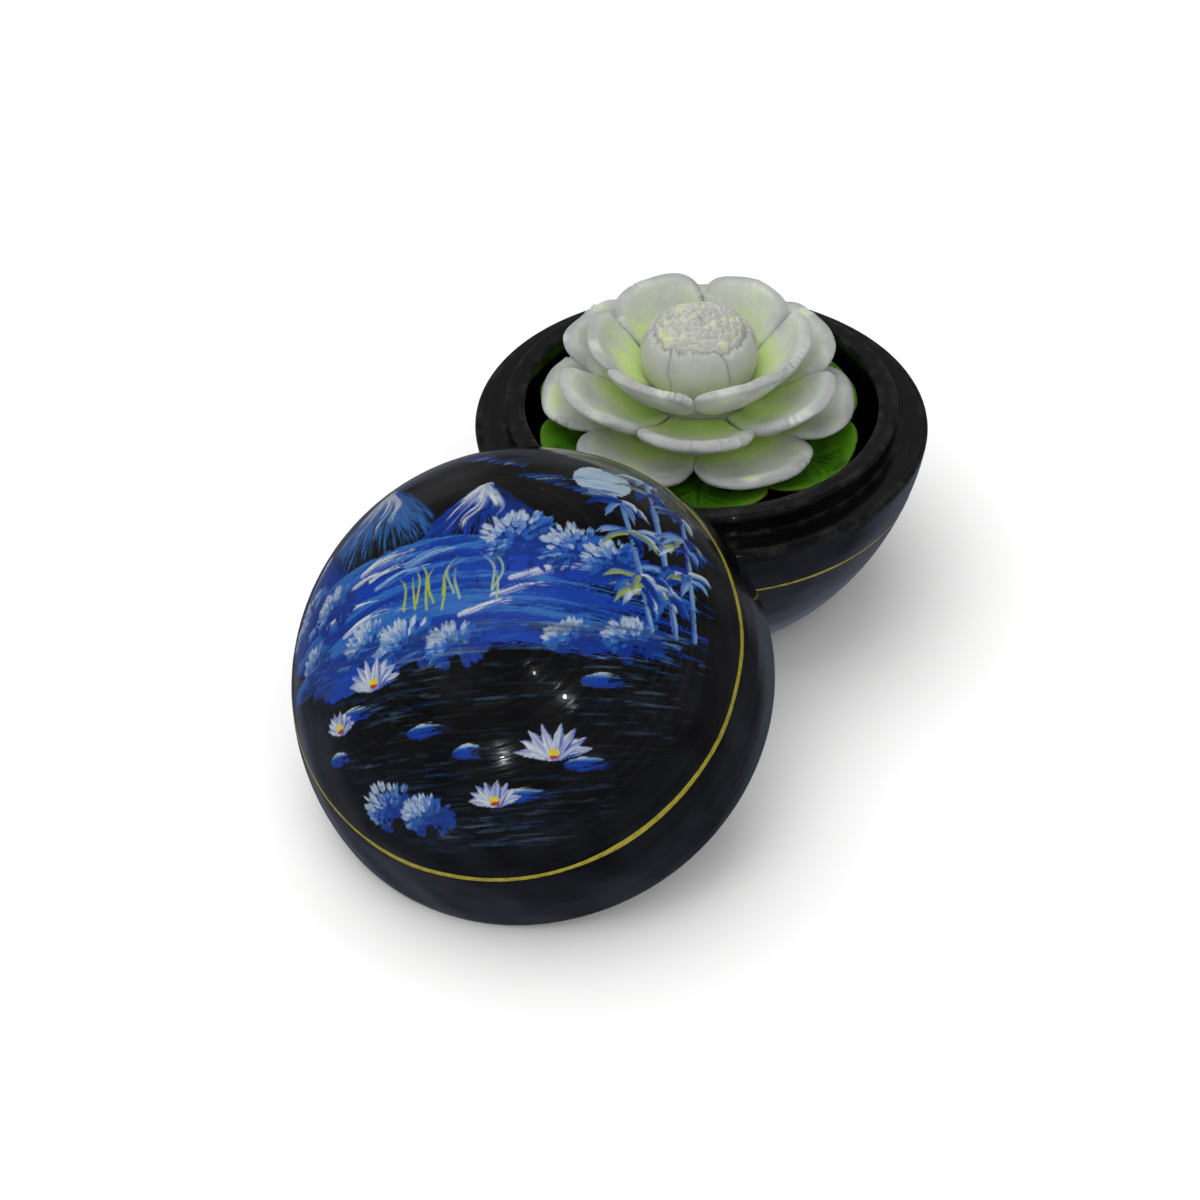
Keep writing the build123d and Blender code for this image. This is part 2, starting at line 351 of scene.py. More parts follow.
# The lid: a turned dome of the same lacquered wood, its rim cut back inside to
# drop over the spigot. It lies off the bowl, its rim on the table and its rim
# face on the spigot.
LID_AT, LID_HEADING, LID_LEAN = (-35.634, -73.061, 24.897), -116, 30.5
lean = Matrix.Rotation(math.radians(LID_HEADING), 4, "Z") @ Matrix.Rotation(math.radians(LID_LEAN), 4, "Y")
# the picture is upright to someone who looks along the table's +Y: its right is +X, seen down the axis
lid_axis = lean.to_3x3() @ Vector((0, 0, 1))
right = Vector((1, 0, 0)) - lid_axis * lid_axis.x
right_in_lid = lean.to_3x3().transposed() @ right.normalized()
picture_turn = math.atan2(right_in_lid.y, right_in_lid.x)
lid_place = Matrix.Translation(Vector(LID_AT) * MM) @ lean @ Matrix.Rotation(picture_turn, 4, "Z")

LID_H, LID_T, RING_UP = 55.0, 6.5, 20.4
REBATE_R, REBATE_UP, LID_BORE_R, LID_BORE_UP = 43.5, 5.4, 39.6, 14.4
SHOULDER, CROWN = 0.6, 0.54  # how far the dome runs straight up, and flat over its top
SINK = 0.12  # the wood lies this far under the painted skin


def dome_line(radius, low, top, count=400):
    """Half of a dome's outline, from the middle of its top to its foot."""
    t = np.linspace(1, 0, count)[:, None]
    handles = ((radius, low), (radius, low + SHOULDER * (top - low)), (CROWN * radius, top), (0, top))
    a, b, c, d = (np.array(handle) for handle in handles)
    return (1 - t) ** 3 * a + 3 * t * (1 - t) ** 2 * b + 3 * t * t * (1 - t) * c + t**3 * d


skin = dome_line(RIM_R, 0, LID_H)
skin_reach = np.r_[0, np.cumsum(np.hypot(*np.diff(skin, axis=0).T))]
ring_reach = float(np.interp(-RING_UP, -skin[:, 1], skin_reach))


def dome(reach):
    """Radius and height of the dome at a distance from its top, measured over its skin."""
    return np.interp(reach, skin_reach, skin[:, 0]), np.interp(reach, skin_reach, skin[:, 1])


def dome_wall_at(z):
    """The dome's outer radius at a height."""
    return np.interp(-z, -skin[:, 1], skin[:, 0])


lid_line = profile_points(
    [
        dome_line(LID_BORE_R, LID_BORE_UP, LID_H - LID_T),
        [(LID_BORE_R, LID_BORE_UP), (LID_BORE_R, REBATE_UP)],
        [(LID_BORE_R, REBATE_UP), (REBATE_R, REBATE_UP)],
        [(REBATE_R, REBATE_UP), (REBATE_R, 0)],
        [(REBATE_R, 0), (RIM_R, 0)],
        skin[skin[:, 1] <= RING_UP][::-1],
        np.stack(dome(np.linspace(ring_reach, 0, 90)), 1) * (1 - SINK / RIM_R),
    ],
    {3: 0.5, 4: 0.5, 5: 1.3},
    0.7,
)
turned("lid_turned", *lid_line, "lid", "lid", black_lacquer, lid_place, seed=8)
gold_line("lid_gold_line", "lid", dome_wall_at, RING_UP, 1.2, 12, lid_place, sway=0.5)

# The picture on the lid: thick strokes of blue and white poster paint on the
# black, under clear lacquer: a lake by night with hills, a moon, bamboo and water
# lilies. Its places are in millimetres over the dome's skin, from the top.
GRID = 0.22  # the grain of the paint
side = np.arange(-ring_reach, ring_reach + GRID, GRID)
grid_x, grid_y = np.meshgrid(side, side)
ink = np.zeros((*grid_x.shape, 3))
cover = np.zeros(grid_x.shape)
rng = np.random.default_rng(7)
WHITE, PALE, SKY = (0.50, 0.53, 0.50), (0.17, 0.31, 0.44), (0.022, 0.115, 0.33)
COBALT, DEEP, NIGHT = (0.001, 0.032, 0.27), (0.001, 0.010, 0.085), (0.001, 0.004, 0.02)
LIME, RED, YELLOW = (0.26, 0.33, 0.01), (0.30, 0.02, 0.004), (0.50, 0.40, 0.01)


def smooth_path(points, spacing=0.7):
    """Points along a smooth curve through the given ones."""
    p = np.array(points, float)
    if len(p) == 2:
        p = np.array([p[0], (p[0] + p[1]) / 2, p[1]])
    ends = np.vstack([2 * p[0] - p[1], p, 2 * p[-1] - p[-2]])
    made = []
    for k in range(1, len(ends) - 2):
        a, b, c, d = ends[k - 1 : k + 3]
        count = max(2, int(np.linalg.norm(c - b) / spacing))
        t = np.linspace(0, 1, count, endpoint=False)[:, None]
        square, cube = 2 * a - 5 * b + 4 * c - d, 3 * b - a - 3 * c + d
        made.append(0.5 * (2 * b + (c - a) * t + square * t**2 + cube * t**3))
    return np.vstack([*made, p[-1:]])


def stroke(
    points, width, dark, light, lean=0.0, dry=0.25, bristle=0.34,
    strength=1.0, taper=(0.6, 0.5), contrast=0.9,
):
    """One stroke of a loaded brush: streaks of its two colours along it, thinning as it dries.

    lean puts the light colour to one side, dry empties the brush, bristle is a streak's
    width, and taper is the share of the width left at the start and at the end.
    """
    seed = int(rng.integers(1, 9999))
    path = smooth_path(points)
    gap = width / 2 + 0.6
    i0, i1 = np.searchsorted(side, (path[:, 0].min() - gap, path[:, 0].max() + gap))
    j0, j1 = np.searchsorted(side, (path[:, 1].min() - gap, path[:, 1].max() + gap))
    if i1 <= i0 or j1 <= j0:
        return
    x, y = grid_x[j0:j1, i0:i1], grid_y[j0:j1, i0:i1]
    nearest = np.full(x.shape, 1e9)
    along, across = np.zeros(x.shape), np.zeros(x.shape)
    gone = 0.0
    for a, b in zip(path[:-1], path[1:]):
        run = b - a
        length = float(np.hypot(*run)) or 1e-6
        run = run / length
        u = np.clip((x - a[0]) * run[0] + (y - a[1]) * run[1], 0, length)
        dx, dy = x - a[0] - u * run[0], y - a[1] - u * run[1]
        far = np.hypot(dx, dy)
        closer = far < nearest
        nearest[closer] = far[closer]
        along[closer] = (gone + u)[closer]
        across[closer] = (run[0] * dy - run[1] * dx)[closer]
        gone += length
    share = along / gone
    start, end = taper
    swell = np.minimum(1, (share + 0.02) / 0.12 * (1 - start) + start)
    fade = np.minimum(1, (1.02 - share) / 0.35 * (1 - end) + end)
    half = width / 2 * (swell * fade) * (0.88 + 0.24 * noise(along / 2.5, 0.5, seed))
    hair = noise(across / bristle + 40, along / (14 * bristle) + 9, seed + 1)
    fine = noise(across / (0.45 * bristle) + 80, along / (9 * bristle), seed + 2)
    streak = 0.65 * hair + 0.35 * fine
    ragged = nearest - half + 0.35 * (streak - 0.5) * min(width, 2.0)
    body = 1 - step(-0.12, 0.16, ragged)
    loaded = 1.15 - dry * (0.35 + 1.1 * share) - 0.25 * dry * np.abs(across) / np.maximum(half, 0.1)
    body = body * step(0.30, 0.52, loaded + 0.55 * (streak - 0.5) - 0.25) * strength
    tone = 0.5 + lean * across / np.maximum(half, 0.1) * 0.5 + contrast * (streak - 0.5)
    tone = np.clip(tone, 0, 1)[..., None]
    colour = np.array(dark) * (1 - tone) + np.array(light) * tone
    m = body[..., None]
    ink[j0:j1, i0:i1] = ink[j0:j1, i0:i1] * (1 - m) + colour * m
    cover[j0:j1, i0:i1] = 1 - (1 - cover[j0:j1, i0:i1]) * (1 - body)


def jitter(points, size):
    """The same points, each moved a little."""
    return [(x + rng.normal(0, size), y + rng.normal(0, size)) for x, y in points]


# far hills, lit from one side, in fanned downward strokes
for top, left, low, colours in (
    ((-24, 36), (-48, 6), (-2, 8), (DEEP, SKY)),
    ((2, 27), (-17, 7), (22, 6), (NIGHT, COBALT)),
    ((-40, 22), (-56, 2), (-24, 3), (NIGHT, COBALT)),
):
    for t in np.linspace(0, 1, 15):
        foot = (left[0] + (low[0] - left[0]) * t, left[1] + (low[1] - left[1]) * t)
        start = (top[0] + (foot[0] - top[0]) * 0.08, top[1] - abs(foot[0] - top[0]) * 0.10)
        bend = ((start[0] + foot[0]) / 2 + (t - 0.5) * 3, (start[1] + foot[1]) / 2 - 1.5)
        stroke(jitter([start, bend, foot], 0.5), 4.2, *colours, lean=-0.6, dry=0.45, bristle=0.30)
for points, wide in (
    ([(-24, 36.5), (-29, 29), (-34, 24), (-38, 17)], 4.0),
    ([(-24, 36), (-26, 29), (-30, 22), (-31, 14)], 3.6),
    ([(-23.5, 35), (-22, 28), (-24, 22), (-22, 15)], 2.6),
    ([(-23, 35), (-19, 28), (-20, 22), (-15, 15)], 2.6),
    ([(2, 27.5), (-3, 21), (-6, 17), (-11, 11)], 3.6),
    ([(2, 27), (1, 21), (-2, 17), (-1, 11)], 2.6),
    ([(2, 27), (5, 21), (4, 17), (8, 11)], 2.4),
    ([(-40, 22.5), (-45, 16), (-49, 10)], 3.2),
):
    stroke(points, wide, COBALT, WHITE, lean=-1.0, dry=0.55, bristle=0.30, contrast=1.2)

# the shore: long flat strokes of a wide brush, white where the moon catches them
SHORE_BLUES = ((DEEP, COBALT), (COBALT, COBALT), (DEEP, COBALT), (COBALT, SKY), (COBALT, SKY))
for k in range(34):
    y = 10 - k * 0.62
    x0, x1 = -55 + rng.uniform(0, 24), 55 - rng.uniform(0, 30)
    rise = rng.uniform(-1.4, 1.4)
    dark, light = SHORE_BLUES[int(rng.integers(0, 5))]
    line = [(x0, y - 4 + rise), ((x0 + x1) / 2, y + 1.6), (x1, y - 3 - rise)]
    stroke(line, rng.uniform(2.4, 5.0), dark, light, lean=0.7, dry=0.35, bristle=0.24, contrast=1.3)
for k in range(15):
    y = 11 - k * 1.15
    x0 = rng.uniform(-50, 16)
    wide = rng.uniform(1.4, 3.4) * (1 - 0.03 * k)
    light = (WHITE, PALE, WHITE)[k % 3]
    line = [(x0, y - 1.6), (x0 + 10, y + 0.7), (x0 + rng.uniform(18, 36), y - 1.0)]
    stroke(line, wide, COBALT, light, lean=1.0, dry=0.7, bristle=0.22, contrast=1.3)

# the moon and the clouds that cross it
MOON_X, MOON_Y, MOON_R = 26, 33, 6.0
for k in range(12):
    y = 27.6 + k * 0.95
    w = math.sqrt(max(0.5, MOON_R**2 - (y - MOON_Y) ** 2))
    line = [(MOON_X - w, y), (MOON_X, y + 0.35), (MOON_X + w, y)]
    stroke(line, 1.5, PALE, WHITE, lean=0.4, dry=0.05, contrast=0.7, taper=(0.9, 0.8))
for x0, y, length in ((8, 31.0, 24), (18, 27.5, 26), (0, 38, 18), (26, 38.5, 16), (-8, 42, 22)):
    for k in range(5):
        drop = k * 0.75
        line = [(x0 + 2 * k, y - drop), (x0 + length / 2, y + 1.4 - drop), (x0 + length - 3 * k, y - drop)]
        light = (COBALT, SKY, PALE)[k % 3]
        stroke(line, 1.3, DEEP, light, lean=0.8, dry=0.6, strength=0.9, bristle=0.24)


def foam(x, y, wide, tall, count=170):
    """A rounded bush of short dabs, white on its lit side and dark below."""
    dabs = []
    for _ in range(count):
        turn = rng.uniform(-0.4, 1.4) * math.pi
        far = math.sqrt(rng.uniform(0.02, 1))
        dabs.append((far, x + wide * far * math.cos(turn), y + tall * far * math.sin(turn), turn))
    for low in (-0.2, 0.15, 0.45):
        ends = [(x - 0.7 * wide, y + low * tall), (x + 0.7 * wide, y + low * tall)]
        stroke(ends, 0.5 * tall, DEEP, COBALT, dry=0.2)
    for far, px, py, turn in sorted(dabs, key=lambda dab: -dab[2]):
        lit = 0.55 * math.sin(turn) - 0.42 * math.cos(turn)
        lift = np.clip(far * lit + 0.38 + rng.normal(0, 0.10), 0, 1)
        light = WHITE if lift > 0.76 else PALE if lift > 0.60 else SKY if lift > 0.34 else COBALT
        dark = SKY if lift > 0.76 else COBALT if lift > 0.42 else DEEP
        reach = 0.7 + 0.9 * far
        tip = (px + reach * math.cos(turn), py + reach * (math.sin(turn) + 0.15))
        stroke([(px, py), tip], rng.uniform(0.6, 1.25), dark, light, dry=0.3, bristle=0.22, contrast=1.1)


BUSHES = (
    (-49, 3, 5, 4), (-42, 7, 6.5, 6), (-33, 4, 5.5, 4.5), (10, 11, 7.5, 7), (21, 9, 6.5, 6),
    (29, 7.5, 6, 5), (-25, -41, 8, 5), (-16, -44, 6, 3.8), (-22, -7, 6, 3.6), (-13, -9, 7, 4.4),
    (-3, -10.5, 5.5, 3.4), (33, -9, 6, 3.2), (-40, -6, 5, 3), (20, -10, 4.5, 2.6),
)
for bush in BUSHES:
    foam(*bush)

# bamboo on the right: jointed stalks with hanging leaves
STALKS = ((42, 36, 40, 1.7), (47, 45, 29, 1.4), (36.5, 30, 26, 1.2))
STALK_FOOT = -7
LEAF_BLUES = ((COBALT, LIME), (SKY, WHITE), (COBALT, PALE), (COBALT, SKY), (DEEP, COBALT), (DEEP, COBALT))


def stalk_at(foot, head, top, y):
    """Where a leaning stalk of bamboo stands at a height."""
    return foot + (head - foot) * (y - STALK_FOOT) / (top - STALK_FOOT)


for foot, head, top, wide in STALKS:
    joints = np.r_[STALK_FOOT, np.sort(rng.uniform(-2, top - 3, 5)), top]
    for low, high in zip(joints[:-1], joints[1:]):
        a, b = stalk_at(foot, head, top, low), stalk_at(foot, head, top, high)
        ends = [(a, low + 0.4), (b, high - 0.3)]
        stroke(ends, wide, COBALT, PALE, lean=-1.0, dry=0.3, taper=(1, 1), bristle=0.24)
        stroke([(b - 0.8, high), (b + 0.8, high + 0.1)], 0.45, SKY, PALE, dry=0.1)
    for joint in joints[2:]:
        x = stalk_at(foot, head, top, joint)
        for _ in range(9):
            turn = rng.choice([-1, 1]) * rng.uniform(0.25, 1.45)
            length = rng.uniform(4, 10)
            tip = (x + length * math.sin(turn), joint - length * math.cos(turn) * 0.75)
            bow = ((x + tip[0]) / 2 + 0.8 * turn, (joint + tip[1]) / 2 + 0.9)
            dark, light = LEAF_BLUES[int(rng.integers(0, 6))]
            line = [(x, joint), bow, tip]
            stroke(line, 1.6, dark, light, lean=0.9, dry=0.3, taper=(0.35, 0.05), bristle=0.22)

# still water: thin broken lines of blue-grey, in patches
WATER = (SKY, PALE, (0.045, 0.075, 0.10), (0.02, 0.05, 0.10))
for _ in range(900):
    y = rng.uniform(-53, -6)
    reach = math.sqrt(max(0, 57**2 - y * y))
    x0 = rng.uniform(-reach, reach - 6)
    length = min(rng.uniform(6, 30), reach - x0)
    light = WATER[int(rng.integers(0, 4))]
    near = 0.30 + 0.4 * float(step(-26, -8, y))
    patch = float(0.35 + 0.9 * noise(x0 / 9 + 30, y / 5 + 30, 80))
    line = [(x0, y), (x0 + length / 2, y + rng.normal(0, 0.25)), (x0 + length, y)]
    wide = rng.uniform(0.35, 1.0)
    strength = near * patch * rng.uniform(0.3, 1)
    stroke(line, wide, NIGHT, light, dry=0.62, strength=strength, bristle=0.2, contrast=1.3)

# water lilies: flat leaves and opened flowers with a warm heart
LILY_LEAVES = (
    (-27, -19, 7.0), (-10, -25, 5.5), (-36, -27, 5), (9, -40, 7.5), (23, -34, 6.0), (27, -17, 5.5),
    (-2, -30, 4),
)
for x, y, size in LILY_LEAVES:
    for k in range(8):
        w = size * math.sqrt(1 - ((k - 3.5) / 4.2) ** 2)
        drop = k * 0.34
        line = [(x - w, y - drop), (x + rng.normal(0, 0.8), y + 0.3 - drop), (x + w, y - drop)]
        light = (WHITE, PALE, SKY, COBALT)[min(k, 3)]
        stroke(line, 0.8, DEEP, light, lean=0.9, dry=0.45, bristle=0.22, contrast=1.3)
    line = [(x, y - 1.3), (x + 0.55 * size, y - 0.5), (x + 0.9 * size, y - 0.6)]
    stroke(line, 0.5, NIGHT, NIGHT, dry=0.2)
for x, y, size in ((-22, -15, 5.2), (15, -33, 6.4), (1, -42, 4.6), (-34, -22, 3.8)):
    for turn in (-80, 80, -58, 58, -36, 36, -14, 14):
        t = math.radians(turn)
        tip = (x + size * 1.25 * math.sin(t), y + size * math.cos(t))
        bow = (x + size * 0.62 * math.sin(t * 1.15), y + size * 0.5 * math.cos(t))
        line = [(x, y - 0.4), bow, tip]
        stroke(line, 2.1, COBALT, WHITE, lean=0.5, dry=0.2, taper=(0.5, 0.12), contrast=1.2, bristle=0.26)
    stroke([(x - 0.9, y + 0.6), (x + 0.9, y + 0.6)], 1.2, YELLOW, YELLOW, dry=0.1)
    stroke([(x - 0.8, y - 0.3), (x + 0.8, y - 0.3)], 0.7, RED, RED, dry=0.1)

# reeds by the shore, yellow-green with a few in pale blue
for k in range(13):
    x = (-8 if k % 3 else 3) + rng.normal(0, 3)
    y = rng.uniform(-3, 1)
    bow = (x + rng.normal(0, 0.8), y + 5)
    tip = (x + rng.normal(0, 2.2), y + rng.uniform(7, 12))
    stroke([(x, y), bow, tip], 0.42, LIME, LIME if k % 3 else PALE, dry=0.4, taper=(1, 0.3))

# the paint is rubbed through in patches, ends short of the gold line and stands a little proud
reach = np.hypot(grid_x, grid_y)
inside = reach <= ring_reach - 0.1
warped = grid_x / 1.3 + 2 * noise(grid_x / 3, grid_y / 3, 78)
patches = noise(warped, grid_y / 0.6, 77) * noise(grid_x / 5, grid_y / 5, 79) ** 0.35
rubbed = 0.7 * step(0.80, 0.95, patches)
cover = cover * (1 - rubbed) * (1 - step(ring_reach - 2.4, ring_reach - 1.2, reach))
lift = 0.03 * cover * (0.6 + 0.4 * noise(grid_x / 0.4, grid_y / 0.4, 5)) - 0.02
turn = np.arctan2(grid_y, grid_x)
r, z = dome(np.minimum(reach, ring_reach))
points = np.stack([r * np.cos(turn), r * np.sin(turn), z], -1) * (1 + lift / RIM_R)[..., None]
number = -np.ones(grid_x.shape, int)
number[inside] = np.arange(inside.sum())
square = inside[:-1, :-1] & inside[1:, :-1] & inside[:-1, 1:] & inside[1:, 1:]
j, i = np.nonzero(square)
quads = np.stack([number[j, i], number[j, i + 1], number[j + 1, i + 1], number[j + 1, i]], 1)
picture = lacquer("painted_lacquer", painted=True)
values = {"ink": ink[inside], "cover": cover[inside], "edge": np.zeros(inside.sum())}
piece("lid_picture", points[inside], quads.tolist(), "lid", (), values, lid_place, picture)

# The carved flower's soap: white and ivory for petals and bud, green below,
# all a little clear at thin edges. Its waisted stem stands in the bowl.
FLOWER_AT, FLOWER_TURN = (-0.6, 0.8, 42.5), -3.5
flower = Matrix.Translation(Vector(FLOWER_AT) * MM) @ Matrix.Rotation(math.radians(FLOWER_TURN), 4, "Z")


def soap(name, rim, white, tinted, deep, rough, gloss):
    """Soap with a colour that runs from its rim to its root, lit through from inside. Its rim colour is
    darker and its white lighter than the soap is: painted shade on the lips and painted light on the faces.
    """
    made, tree, shader = material(
        name,
        subsurface_weight=0.85,
        subsurface_scale=0.006,
        subsurface_radius=(1.0, 1.0, 0.9),
        specular_ior_level=gloss,
        coat_weight=0.12,
        coat_roughness=0.25,
    )
    place = put(tree, "TexCoord").outputs["Object"]
    dye_and_shade = put(tree, "Attribute", attribute_name="dye_and_shade").outputs["Fac"]
    cloud = spots(tree, place, 160.0, 3.0, 0.5)
    dyed_and_shaded = sums(tree, "ADD", dye_and_shade, level(tree, cloud, 0.3, 0.7, -0.08, 0.08))
    # the dark rim stop is painted shade on the lips, the lighter white stop painted light on the faces
    colour = ramp(tree, dyed_and_shaded, (0.0, rim), (0.20, white), (0.55, tinted), (0.98, deep))
    film = level(tree, spots(tree, place, 900.0, 4.0, 0.6), 0.35, 0.75, 0.0, 0.18)
    lay(tree, mixed(tree, film, colour, tuple(0.78 * c for c in rim)), shader, "Base Color")
    lay(tree, level(tree, cloud, 0.3, 0.7, rough - 0.06, rough + 0.10), shader, "Roughness")
    pores = bump(tree, spots(tree, place, 1400.0, 4.0, 0.6), 0.00012, 0.35)
    lay(tree, bump(tree, cloud, 0.0008, 0.25, pores), shader, "Normal")
    return made


white_soap = soap(
    "white_soap",
    rim=(0.31, 0.32, 0.32), white=(0.48, 0.51, 0.46), tinted=(0.50, 0.64, 0.25), deep=(0.32, 0.58, 0.03),
    rough=0.48, gloss=0.30,
)
ivory_soap = soap(
    "ivory_soap",
    rim=(0.38, 0.39, 0.36), white=(0.44, 0.45, 0.40), tinted=(0.52, 0.55, 0.38), deep=(0.42, 0.50, 0.17),
    rough=0.40, gloss=0.38,
)
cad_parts["flower_stem"].data.materials.clear()
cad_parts["flower_stem"].data.materials.append(ivory_soap)


def blade(length, width, widest, point, root_in, rng, ragged, waver, count=150):
    """The outline of a petal, from one side of its root round its tip to the other."""
    t = np.linspace(0, 1, count // 2)
    x = -root_in + (length + root_in) * (1 - (1 - t) ** 1.9)
    wide = widest * length
    neck = width / 5
    swell = np.sin(np.clip((x + root_in) / (wide + root_in), 0, 1) * math.pi / 2) ** 1.05
    low = neck + (width / 2 - neck) * swell
    far = np.clip((x - wide) / (length - wide), 0, 1)
    power = 2.25 - 0.55 * point
    high = width / 2 * (1 - far**power) ** (1 / power)
    y = np.where(x < wide, low, high)
    line = np.vstack([np.stack([x, -y], 1), np.stack([x, y], 1)[::-1][1:]])
    turn = np.arctan2(line[:, 1], line[:, 0] - wide * 0.8)
    seed = int(rng.integers(1, 9999))
    swing = noise(2 + 1.6 * np.cos(turn), 2 + 1.6 * np.sin(turn), seed) - 0.5
    grow = 1 + 2 * waver * swing
    middle = np.array([wide * 0.8, 0.0])
    line = middle + (line - middle) * grow[:, None]
    if ragged:
        where = step(0.55, 0.75, noise(3 + 2.5 * np.cos(turn), 3 + 2.5 * np.sin(turn), seed + 1))
        bits = (noise(turn * 16, 0.5, seed + 2) - 0.45) * 2 + (noise(turn * 37, 0.5, seed + 3) - 0.5) * 1.4
        away = (line - middle) / np.linalg.norm(line - middle, axis=1, keepdims=True)
        line = line + away * (ragged * where * bits * (line[:, 0] > wide * 0.5))[:, None]
    return line, middle


def vein_lines(x, y, length):
    """1 in the middle of a cut vein and 0 away from it; the veins meet at the tip."""
    dx = length * 1.02 - x
    turn = np.arctan2(y, dx)
    mark = np.zeros_like(x)
    for angle in (-58, -38, -20, 0, 20, 38, 58):
        heading = math.radians(angle) * (0.75 + 0.25 * np.clip(dx / length, 0, 1))
        away = np.abs(turn - heading) * np.hypot(dx, y)
        mark = np.maximum(mark, np.exp(-((away / 0.34) ** 2)))
    return mark * step(0.0, 0.15, x / length)


ROOT_IN, VEIN_DEPTH = 2.5, 0.22  # how far a root is let into the stem, and how deep a vein is cut


def petal(name, ring, turn, node, paint, seed, dye_and_shade):
    """One petal or leaf: a cupped blade with a thick rounded rim, set at its place on the stem."""
    rng = np.random.default_rng(seed)
    length, rim = ring["length"], ring["rim"]
    shape = (length, ring["width"], ring["widest"], ring["point"])
    line, middle = blade(*shape, ROOT_IN, rng, ring["ragged"], ring["waver"])
    scales = np.array([0.12, 0.28, 0.44, 0.58, 0.70, 0.80, 0.875, 0.93, 0.965, 0.988, 1.0])
    swell = np.sqrt(np.clip(1 - np.clip((scales - (1 - rim)) / rim, 0, 1) ** 2, 0, 1))
    n = len(line)
    h = np.concatenate([[1.0], np.repeat(swell, n)])
    rho = np.concatenate([[0.0], np.repeat(scales, n)])
    x, y = np.concatenate([middle[None, :]] + [middle + (line - middle) * s for s in scales]).T
    share = np.clip(x / length, 0, 1)
    # the blade lies on a ball of the ring's cup radius, with knife waves and a rim that flares at the tip
    reach = ring["cup_at"] * length
    up = math.sqrt(ring["cup"] ** 2 - reach**2)
    cut_seed = int(rng.integers(1, 9999))
    lumps = noise(x / 4.0 + 20, y / 4.0 + 20, cut_seed) - 0.5
    fine = noise(x / 1.2 + 50, y / 1.2 + 50, cut_seed + 1) - 0.5
    sheet = ring["cup"] + ring["thick"] / 2 + ring["waves"] * (0.55 * lumps + 0.16 * fine)
    sheet = sheet + ring["flare"] * np.clip((rho - 0.72) / 0.28, 0, 1) ** 2 * share
    thin = ring["thick"] / 2 * (1.08 - 0.25 * share)
    layers = []
    for sign in (-1, 1):
        radius = sheet + sign * thin * h
        gap = np.sqrt(np.maximum(radius**2 - (x - reach) ** 2 - y**2, 1.0))
        layers.append(np.stack([x, y, up - gap], 1))
    top, under = layers
    veins = ring.get("veins", False)
    if veins:
        groove = vein_lines(x, y, length)
        top[:, 2] -= VEIN_DEPTH * groove * h
    # the upper and the under side share the outermost row of points
    count = 1 + n * len(scales)
    shared = count - n
    last = len(scales) - 1
    verts = np.vstack([top, under[:shared]])

    def at(base, k, i):
        return k * n + i + 1 + (0 if k == last else base)

    faces = []
    for base in (0, count):
        for i in range(n):
            j = (i + 1) % n
            fan = (base, at(base, 0, i), at(base, 0, j))
            faces.append((fan[0], fan[2], fan[1]) if base else fan)
            for k in range(last):
                quad = (at(base, k, i), at(base, k + 1, i), at(base, k + 1, j), at(base, k, j))
                faces.append(quad[::-1] if base else quad)
    rise = math.radians(ring["rise"] + rng.normal(0, 1.2))
    heading = math.radians(turn + rng.normal(0, 1.0))
    put_on = (
        Matrix.Rotation(heading, 4, "Z")
        @ Matrix.Translation((ring["root_r"], 0, ring["root_up"]))
        @ Matrix.Rotation(-rise, 4, "Y")
    )
    verts = np.array([put_on @ Vector(v) for v in verts])
    # the dye pools at the root and in blotches, and on a leaf the dark root is painted shade under the
    # petals; the faces inside the rim are lifted off the rim colour, on the petals painted light on the faces
    # and painted shade on the darker lips
    blotch = noise(x / 5 + 7, y / 5 + 7, cut_seed + 3)
    root = 1 - step(0.16, 0.66, share + 0.30 * (blotch - 0.5))
    dyed_and_shaded = dye_and_shade * root + 0.45 * dye_and_shade * step(0.66, 0.98, blotch) + 0.20 * (1 - step(0.72, 0.97, rho))
    dyed_and_shaded = np.concatenate([dyed_and_shaded, dyed_and_shaded[:shared] * 0.7])
    values = {"dye_and_shade": np.clip(dyed_and_shaded, 0, 1), "rim": np.concatenate([rho, rho[:shared]])}
    if veins:
        values["vein"] = np.concatenate([groove, groove[:shared] * 0.3])
    piece(name, verts, faces, "flower", [node], values, flower, paint)


# The bud: small petals closed round a heart of carved flakes, at the top of
# the stem. Ivory soap, smooth below and ragged above where the knife nicked it.
BUD_R, BUD_UP = 12.0, 16.8
BUD_FLAT = 2.1  # how much lower the bud's top is than a ball's


